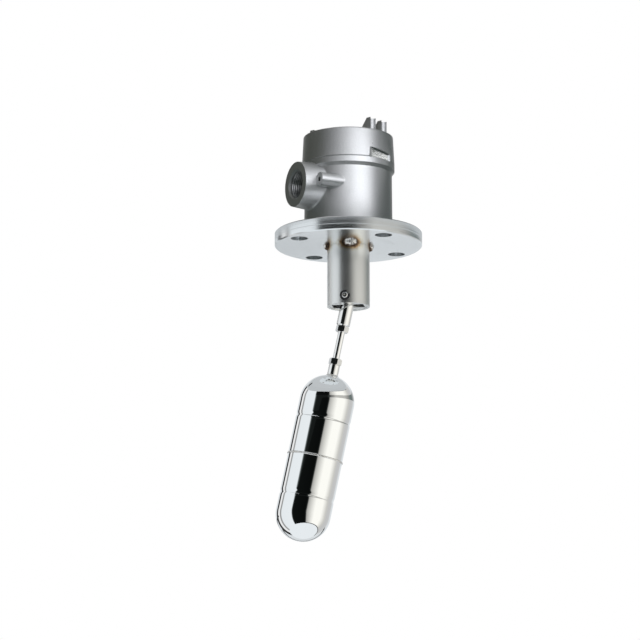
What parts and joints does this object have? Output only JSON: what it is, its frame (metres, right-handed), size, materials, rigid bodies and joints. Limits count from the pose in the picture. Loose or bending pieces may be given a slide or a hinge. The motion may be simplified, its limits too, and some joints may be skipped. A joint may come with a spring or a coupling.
{
  "type": "side mount float switch",
  "caption": "Flange-mounted magnetic float switch: a pivoted cylindrical metal float under a bolting flange works a micro switch in a round cast housing with a screw cover.",
  "frame": {"origin": "centre of the flange's lower, sealing face, on the axis of the bolt circle", "axes": "+Z from the sealing face up to the housing, the float arm's pivot pin along Y, the float hangs below towards -X at rest"},
  "size_m": [0.13, 0.13, 0.3713],
  "materials": {
    "flange_steel": "machined, satin",
    "casting": "bead-blasted casting",
    "sleeve_steel": "satin stainless tube",
    "weld_steel": "weld bead with heat tint",
    "pin_steel": "turned",
    "black_steel": "black spring steel",
    "polished_steel": "polished stainless",
    "float_steel": "mirror polished stainless",
    "magnet": "sintered magnet",
    "seal_rubber": "moulded rubber",
    "screw_steel": "bright",
    "bracket_steel": "cold-rolled sheet",
    "lever_brass": "brushed brass",
    "switch_plastic": "moulded thermoset",
    "button_plastic": "moulded button",
    "block_plastic": "moulded terminal block"
  },
  "bodies": {
    "case": {"flange": "flange_steel", "partition_well": "sleeve_steel", "pivot_sleeve": "sleeve_steel", "sleeve_welds": "weld_steel", "arm_guide": "sleeve_steel", "pivot_pin": "pin_steel", "pin_clip_front": "black_steel", "pin_clip_rear": "black_steel", "pivot_spacers": "pin_steel", "housing_body": "casting", "base_o_ring": "seal_rubber", "housing_screws": "screw_steel", "switch_bracket": "bracket_steel", "bracket_screws": "screw_steel", "lever_pin": "pin_steel", "micro_switch": "switch_plastic", "switch_blades": "lever_brass", "micro_switch_screws": "screw_steel", "terminal_block": "block_plastic", "terminal_plates": "lever_brass", "terminal_screws": "screw_steel", "inner_earth_screw": "screw_steel"},
    "float": {"float_arm": "polished_steel", "magnet_holder": "polished_steel", "arm_magnet": "magnet", "lock_nut_upper": "polished_steel", "float_rod": "polished_steel", "lock_nut_lower": "polished_steel", "float_stem": "polished_steel", "float_shell_upper": "float_steel", "float_shell_lower": "float_steel", "float_weld_ring": "weld_steel", "stem_weld": "weld_steel"},
    "lever": {"switch_lever": "lever_brass", "switch_magnet": "magnet"},
    "button": {"switch_button": "button_plastic"},
    "cover_seal": {"cover_o_ring": "seal_rubber"},
    "cover": {"housing_cover": "casting"}
  },
  "joints": [
    {"name": "float_swing", "type": "hinge", "parent": "case", "child": "float", "pos_m": [0, 0, -0.048], "axis": [0, -1, 0], "range_deg": [0, 24]},
    {"name": "lever_swing", "type": "hinge", "parent": "case", "child": "lever", "pos_m": [0, 0, 0.023], "axis": [0, -1, 0], "range_deg": [0, 16]},
    {"name": "button_press", "type": "slide", "parent": "case", "child": "button", "axis": [-1, 0, 0], "range_m": [0, 0.001]},
    {"name": "cover_turn", "type": "hinge", "parent": "case", "child": "cover_seal", "pos_m": [0, 0, 0.0728], "axis": [0, 0, 1], "range_deg": [0, 1800]},
    {"name": "cover_rise", "type": "slide", "parent": "cover_seal", "child": "cover", "axis": [0, 0, 1], "range_m": [0, 0.01]}
  ],
  "couplings": [
    {"joint": "lever_swing", "follows": "float_swing", "ratio": 0.6666},
    {"joint": "button_press", "follows": "float_swing", "m_per_rad": 0.002387},
    {"joint": "cover_rise", "follows": "cover_turn", "m_per_rad": 0.0003183}
  ]
}
